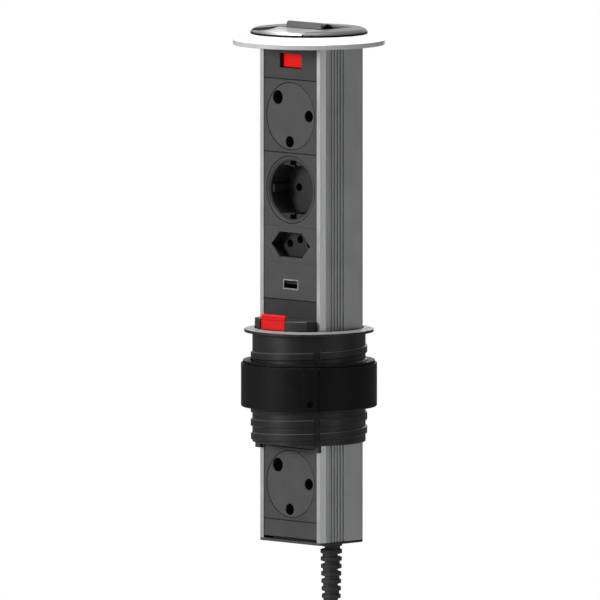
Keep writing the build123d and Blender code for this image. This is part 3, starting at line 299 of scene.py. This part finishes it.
def plastic(
    name, color, roughness, spread=0.06, grain=2600.0, grain_depth=0.04 * MM, grain_strength=0.25,
    mottle=0.10, edge_wear_and_highlight=0.35, edge_radius=0.4 * MM, coat=0.0, specular=0.5,
    recess_shade=1.0, dust_and_light=0.0, shade_box=None, shaded_underside_half=None,
):
    """Moulded plastic: spark-eroded grain, faint mottling, a little lighter on the edges for rubbing and
    as a painted highlight.

    recess_shade is the share of the colour left behind the panel's front, as painted shade in
    recesses, and dust_and_light the grey on faces that look up, for dusting and as painted light.
    shade_box is a hollow's (lowest, highest) corner, painted black as shade, and
    shaded_underside_half half the width of a lid whose underside is painted black as shade.
    """
    mat, tree, shader, coords = new_material(name)
    base = mottled(tree, noise(tree, coords, CLOUD_SCALE, detail=4.0), color, mottle)
    mask, normal = edge_mask(tree, edge_radius, PLASTIC_EDGE_GAIN)
    # Edges a little lighter: rubbing, and a painted highlight.
    worn_and_highlit = scaled(color, 1 + edge_wear_and_highlight, 0.01 * edge_wear_and_highlight)
    patchy = remap(tree, noise(tree, coords, WEAR_SCALE, detail=2.0), 0.3, 1.0)
    wear_and_highlight = math_node(tree, "MULTIPLY", mask, patchy)
    skin = mix_color(tree, wear_and_highlight, base, worn_and_highlit)
    # Painted shade in recesses behind the panel's front.
    if recess_shade < 1.0:
        skin = mix_color(tree, recess_shade_mask(tree, coords), skin, scaled(color, recess_shade))
    # Grey on faces that look up: dusting, and painted light.
    if dust_and_light > 0.0:
        skin = mix_color(tree, upward_mask(tree), skin, grey(dust_and_light))
    # Painted shade: a hollow painted black.
    if shade_box is not None:
        skin = mix_color(tree, shade_box_mask(tree, coords, *shade_box), skin, SHADE_BLACK)
    # Painted shade: a lid's underside painted black.
    if shaded_underside_half is not None:
        skin = mix_color(tree, underside_shade_mask(tree, coords, shaded_underside_half), skin, SHADE_BLACK)
    tree.links.new(skin, shader.inputs["Base Color"])
    patch = noise(tree, coords, PATCH_SCALE, detail=5.0)
    finish = remap(tree, patch, roughness - spread, roughness + spread)
    tree.links.new(finish, shader.inputs["Roughness"])
    fine = noise(tree, coords, grain, detail=2.0, rough=0.5)
    surface = bump(tree, fine, grain_strength, grain_depth, normal)
    tree.links.new(surface, shader.inputs["Normal"])
    shader.inputs["Specular IOR Level"].default_value = specular
    shader.inputs["Coat Weight"].default_value = coat
    shader.inputs["Coat Roughness"].default_value = COAT_ROUGHNESS
    return mat


def metal(
    name, color, roughness, spread=0.06, brushed=LINE_SCALE, mottle=0.06, edge_wear_and_highlight=0.25,
    edge_radius=0.3 * MM, brush_depth=0.02 * MM, brush_strength=0.3, recess_shade=1.0, ends=None,
):
    """Metal with fine lines along the axis whose scale in brushed is the smallest, if one is.

    recess_shade is as for plastic, and farther than ends from the middle the metal is painted
    black as shade. edge_wear_and_highlight makes sharp edges lighter, for rubbing and as a painted
    highlight.
    """
    mat, tree, shader, coords = new_material(name)
    lines = noise(tree, coords, 1.0, detail=4.0, rough=0.6, stretch=brushed)
    base = mottled(tree, lines, color, mottle)
    mask, normal = edge_mask(tree, edge_radius, METAL_EDGE_GAIN)
    # Edges lighter: rubbing, and a painted highlight.
    skin = mix_color(tree, mask, base, scaled(color, 1 + edge_wear_and_highlight))
    # Painted shade in recesses behind the panel's front.
    if recess_shade < 1.0:
        skin = mix_color(tree, recess_shade_mask(tree, coords), skin, scaled(color, recess_shade))
    # Painted shade: black beyond the given distance from the middle.
    if ends is not None:
        past = math_node(tree, "GREATER_THAN", off_middle(tree, coords), ends)
        skin = mix_color(tree, past, skin, SHADE_BLACK)
    tree.links.new(skin, shader.inputs["Base Color"])
    smudge = noise(tree, coords, SMUDGE_SCALE, detail=4.0)
    finish = remap(tree, smudge, roughness - spread, roughness + spread)
    tree.links.new(finish, shader.inputs["Roughness"])
    surface = bump(tree, lines, brush_strength, brush_depth, normal)
    tree.links.new(surface, shader.inputs["Normal"])
    shader.inputs["Metallic"].default_value = 1.0
    return mat


def column_metal():
    """Satin anodised extrusion with drawing lines along its length."""
    mat, tree, shader, coords = new_material("column_aluminium")
    lines = noise(tree, coords, 1.0, detail=4.0, rough=0.6, stretch=COLUMN_LINES)
    base = mix_color(tree, remap(tree, lines, 0.0, 1.0), COLUMN_DARK, COLUMN_LIGHT)
    tree.links.new(base, shader.inputs["Base Color"])
    _, normal = edge_mask(tree, COLUMN_EDGE_RADIUS, COLUMN_EDGE_GAIN)
    smudge = noise(tree, coords, COLUMN_SMUDGE_SCALE, detail=4.0)
    tree.links.new(remap(tree, smudge, *COLUMN_ROUGHNESS), shader.inputs["Roughness"])
    surface = bump(tree, lines, 0.25, COLUMN_LINE_DEPTH, normal)
    tree.links.new(surface, shader.inputs["Normal"])
    shader.inputs["Metallic"].default_value = 1.0
    return mat


# The box within which the slot under the grip flap is painted black as shade.
SLOT_SHADE_BOX = (SLOT_LOW, SLOT_HIGH)
ALONG_X = (60.0, 1600.0, 1600.0)  # scales of brush lines that run along X
DISH_LINES = (900.0, 25.0, 900.0)  # and of lines that run along Y
WHITE_FINISH = {"spread": 0.03, "mottle": 0.01, "edge_wear_and_highlight": 0.05, "coat": 0.1, "grain_strength": 0.08}
RED_FINISH = {"spread": 0.04, "mottle": 0.03, "specular": 0.18}
PANEL_FINISH = {"roughness": 0.55, "specular": 0.35}
CAP_FINISH = {"roughness": 0.5, "spread": 0.05, "specular": 0.25}
CONTACT_METAL = (0.03, 0.024, 0.012)  # brass in the shade of its hole
SLOTS = {s["node"]: s["material_slot"] for s in frame["record"]["subparts"]}

MATERIALS = {
    "black_plastic": plastic("black_plastic", grey(0.014), roughness=0.42),
    "nut_plastic": plastic(
        "nut_plastic", grey(0.002), roughness=0.5, grain=1500.0, edge_wear_and_highlight=0.8, specular=0.13
    ),
    # Painted shade darkens the modules and inserts behind the panel's front.
    "module_plastic": plastic("module_plastic", (0.045, 0.046, 0.045), recess_shade=0.25, **PANEL_FINISH),
    "insert_plastic": plastic("insert_plastic", (0.058, 0.059, 0.058), recess_shade=0.2, **PANEL_FINISH),
    "well_plastic": plastic("well_plastic", grey(0.030), roughness=0.4),
    "column_aluminium": column_metal(),
    "white_plastic": plastic("white_plastic", grey(0.44), roughness=0.30, **WHITE_FINISH),
    # Painted shade: the cap's slot and the flap's underside are black.
    "cap_plastic": plastic("cap_plastic", grey(0.056), shade_box=SLOT_SHADE_BOX, **CAP_FINISH),
    "flap_plastic": plastic("flap_plastic", grey(0.064), shaded_underside_half=FLAP_HALF, **CAP_FINISH),
    # Painted shade: the dish's end faces are black.
    "dish_chrome": metal(
        "dish_chrome", (0.52, 0.52, 0.53), roughness=0.40, spread=0.04, brushed=DISH_LINES,
        mottle=0.02, brush_strength=0.06, ends=DISH_HALF,
    ),
    "brass": metal("brass", (0.60, 0.44, 0.20), roughness=0.30, spread=0.08),
    "steel": metal("steel", (0.60, 0.60, 0.61), roughness=0.26, brushed=ALONG_X),
    "screw_steel": metal("screw_steel", (0.22, 0.22, 0.23), roughness=0.34, spread=0.08),
    "rubber": plastic(
        "rubber", grey(0.024), roughness=0.62, spread=0.08, grain=900.0, specular=0.35
    ),
    "brake_felt": plastic(
        "brake_felt", (0.09, 0.08, 0.07), roughness=0.85, spread=0.08, grain=1800.0,
        grain_strength=0.6, specular=0.2,
    ),
    "cord_rubber": plastic(
        "cord_rubber", grey(0.020), roughness=0.5, spread=0.08, grain=1400.0, specular=0.4
    ),
    "wire_insulation": plastic("wire_insulation", (0.24, 0.13, 0.05), roughness=0.4),
    "board": plastic("board", (0.016, 0.10, 0.04), roughness=0.35, coat=0.3),
}

# Nodes with another finish than the rest of their slot, some darkened as painted shade.
OWN_MATERIALS = {
    # Painted shade: the riser's share of the slot is black.
    "cap_riser": plastic(
        "riser_plastic", grey(0.44), roughness=0.30, shade_box=SLOT_SHADE_BOX, **WHITE_FINISH
    ),
    # A darker copy of the module plastic, as painted shade under the disc.
    "top_module": plastic("top_module_shaded_plastic", grey(0.036), recess_shade=0.3, **PANEL_FINISH),
    "latch_module": plastic(
        "latch_plastic", grey(0.020), roughness=0.5, specular=0.3, edge_wear_and_highlight=0.2
    ),
    # Grey on the sleeve's upward faces: dusting, and painted light where the disc keeps the top lamp
    # off.
    "threaded_sleeve": plastic(
        "sleeve_plastic", grey(0.008), roughness=0.42, specular=0.35, dust_and_light=0.19
    ),
    "nut_screw": plastic("screw_black", grey(0.002), roughness=0.6, specular=0.1),
    # Painted shade deepens within the Schuko well.
    "schuko_insert": plastic(
        "well_plastic_shaded", grey(0.045), roughness=0.45, specular=0.35, recess_shade=0.45
    ),
    # Steel darkened as painted shade within the well.
    "schuko_earth_clip": metal(
        "clip_steel_shaded", grey(0.045), roughness=0.5, spread=0.08, brushed=ALONG_X
    ),
    "release_key": plastic("key_plastic", (0.60, 0.008, 0.010), roughness=0.35, edge_wear_and_highlight=0.5, **RED_FINISH),
    "cover_button": plastic("tab_plastic", (0.95, 0.008, 0.010), roughness=0.30, edge_wear_and_highlight=0.1, **RED_FINISH),
    # Painted shade darkens the shell behind the panel's front.
    "usb_shell": metal(
        "usb_shell_steel", (0.70, 0.70, 0.71), roughness=0.24, brushed=ALONG_X, recess_shade=0.03
    ),
    "usb_tongue": plastic("usb_tongue_plastic", grey(0.010), roughness=0.5, specular=0.2),
}


def material_of(node_name):
    """A node's own finish, or else its slot's."""
    if node_name.endswith("_contacts"):
        return metal("contact_" + node_name, CONTACT_METAL, roughness=0.45, spread=0.08)
    if node_name in OWN_MATERIALS:
        return OWN_MATERIALS[node_name]
    return MATERIALS[SLOTS[node_name]]


for node_name, node in NODES.items():
    node.data.materials.clear()
    node.data.materials.append(material_of(node_name))

# Rounded edges

SHARP_ANGLE = math.radians(40.0)
KEY_EDGE = 0.6 * MM
BUTTON_EDGE = 0.5 * MM


def round_edges(node_name, width):
    """Softens a CAD node's sharp edges."""
    bevel = NODES[node_name].modifiers.new("rounded", "BEVEL")
    bevel.width = width
    bevel.segments = 3
    bevel.limit_method = "ANGLE"
    bevel.angle_limit = SHARP_ANGLE


round_edges("release_key", KEY_EDGE)
round_edges("cover_button", BUTTON_EDGE)

# Leaf springs


def pressed_spring(node_name):
    """A copy of a leaf spring that rides with the column, in place of its CAD node.
    """
    source = NODES[node_name]
    spring = bpy.data.objects.new(node_name + "_leaf", source.data.copy())
    spring.matrix_world = source.matrix_world
    scene.collection.objects.link(spring)
    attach(spring, "column")
    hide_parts(node_name)
    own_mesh(spring)


pressed_spring("key_spring")
pressed_spring("button_spring")

# Mains cord

CORD_RADIUS = 4.25 * MM
EXIT = Vector((13.0, 8.0, 0)) * MM
BOOT_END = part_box("cord_boot")[0].z
COIL_RADIUS = 55.0 * MM
COIL_STEP = 9.2 * MM  # between two turns, and between the two layers
COIL_DROP = 65.85 * MM  # from the boot's end to the coil's middle
INWARD = (0, 1, 2, 3, 4, 5, 3, 2, 1, 0, -1)  # half steps inwards at each half turn's ends
FIRST_LAYER = 4  # half turns before the coil crosses to its second layer
HALF_TURN_POINTS = 12
# The route's points on its straight parts.
BELOW_BOOT = (0, 20 * MM)
ABOVE_COIL = (22 * MM, 6 * MM)
BELOW_COIL = (6 * MM, 14 * MM, 2 * CORD_RADIUS + 12 * MM)


def cord_points():
    """Down out of the strain relief, round the coil and down to the plug's boot."""
    middle = Vector((EXIT.x - COIL_RADIUS, 0, BOOT_END - COIL_DROP))
    stations = []
    for k, inward in enumerate(INWARD):
        side = -1 if k % 2 else 1
        y = EXIT.y if k <= FIRST_LAYER else EXIT.y + COIL_STEP
        stations.append(middle + Vector((side * (COIL_RADIUS - inward * COIL_STEP / 2), y, 0)))
    first, last = stations[0], stations[-1]
    points = [Vector((EXIT.x, EXIT.y, BOOT_END - drop)) for drop in BELOW_BOOT]
    points += [first + Vector((0, 0, rise)) for rise in ABOVE_COIL]
    for k, (a, b) in enumerate(zip(stations, stations[1:])):
        centre, spoke = (a + b) / 2, (a - b) / 2
        bulge = Vector((0, 0, spoke.length if k % 2 else -spoke.length))
        for j in range(HALF_TURN_POINTS):
            turn = math.pi * (j + 0.5) / HALF_TURN_POINTS
            points.append(centre + spoke * math.cos(turn) + bulge * math.sin(turn))
    points += [last + Vector((0, 0, -drop)) for drop in BELOW_COIL]
    return points


def make_cord():
    """The cord as one tube along its route points."""
    curve = bpy.data.curves.new("mains_cord", "CURVE")
    curve.dimensions = "3D"
    curve.bevel_depth = CORD_RADIUS
    curve.bevel_resolution = 6
    curve.resolution_u = 6
    curve.use_fill_caps = True
    points = cord_points()
    spline = curve.splines.new("NURBS")
    spline.points.add(len(points) - 1)
    for knot, point in zip(spline.points, points):
        knot.co = (*point, 1.0)
    spline.order_u = 3
    spline.use_endpoint_u = True
    cord = bpy.data.objects.new("mains_cord", curve)
    scene.collection.objects.link(cord)
    curve.materials.append(MATERIALS["cord_rubber"])
    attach(cord, "column")
    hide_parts("power_cord", "cord_coil", "plug_lead")


make_cord()

# Floor, lights and world

FLOOR_SIZE = 20.0
FLOOR_DROP = 195.0 * MM  # room for the cord when the column is down
FLOOR_COLOR = (0.40, 0.40, 0.40, 1)
FLOOR_ROUGHNESS = 0.9
WHITE_COLOR = (1, 1, 1, 1)
AMBIENT = 0.25  # the world's strength as a light
LIGHT_TARGET = Vector((0, 0, 50 * MM))


def make_floor():
    """A floor that the camera sees as white, that reflects as grey and is clear from below."""
    height = CAD_BOX[0][2] - FLOOR_DROP
    bpy.ops.mesh.primitive_plane_add(size=FLOOR_SIZE, location=(0, 0, height))
    floor = bpy.context.object
    floor.name = "floor"
    mat = bpy.data.materials.new("floor")
    mat.use_nodes = True
    tree = mat.node_tree
    output = tree.nodes["Material Output"]
    shader = tree.nodes["Principled BSDF"]
    shader.inputs["Base Color"].default_value = FLOOR_COLOR
    shader.inputs["Roughness"].default_value = FLOOR_ROUGHNESS
    white = tree.nodes.new("ShaderNodeEmission")
    white.inputs["Color"].default_value = WHITE_COLOR
    white.inputs["Strength"].default_value = 1.0
    path = tree.nodes.new("ShaderNodeLightPath")
    mix = tree.nodes.new("ShaderNodeMixShader")
    tree.links.new(path.outputs["Is Camera Ray"], mix.inputs[0])
    tree.links.new(shader.outputs[0], mix.inputs[1])
    tree.links.new(white.outputs[0], mix.inputs[2])
    clear = tree.nodes.new("ShaderNodeBsdfTransparent")
    geometry = tree.nodes.new("ShaderNodeNewGeometry")
    one_sided = tree.nodes.new("ShaderNodeMixShader")
    tree.links.new(geometry.outputs["Backfacing"], one_sided.inputs[0])
    tree.links.new(mix.outputs[0], one_sided.inputs[1])
    tree.links.new(clear.outputs[0], one_sided.inputs[2])
    tree.links.new(one_sided.outputs[0], output.inputs["Surface"])
    floor.data.materials.append(mat)


def make_world():
    """White behind the object, and a soft light from all round."""
    world = bpy.data.worlds.new("studio")
    scene.world = world
    world.use_nodes = True
    tree = world.node_tree
    back = tree.nodes["Background"]
    back.inputs["Color"].default_value = WHITE_COLOR
    path = tree.nodes.new("ShaderNodeLightPath")
    strength = remap(tree, path.outputs["Is Camera Ray"], AMBIENT, 1.0, 0.0, 1.0)
    tree.links.new(strength, back.inputs["Strength"])


def area_light(name, azimuth, elevation, distance, size, power):
    """A round softbox that faces the object, with its angles in degrees."""
    back = direction(math.radians(azimuth), math.radians(elevation))
    data = bpy.data.lights.new(name, "AREA")
    data.shape = "DISK"
    data.size = size
    data.energy = power
    lamp = bpy.data.objects.new(name, data)
    lamp.location = LIGHT_TARGET + back * distance
    lamp.rotation_euler = back.to_track_quat("Z", "Y").to_euler()
    scene.collection.objects.link(lamp)


make_floor()
make_world()
area_light("left", azimuth=-45.0, elevation=2.0, distance=1.8, size=1.6, power=0.9)
area_light("right", azimuth=96.0, elevation=0.0, distance=1.8, size=1.1, power=2.6)
area_light("front", azimuth=-18.0, elevation=15.0, distance=2.2, size=0.8, power=32.0)
area_light("top", azimuth=-10.0, elevation=84.0, distance=1.8, size=1.0, power=84.0)
area_light("back", azimuth=212.0, elevation=14.0, distance=1.8, size=1.1, power=5.0)
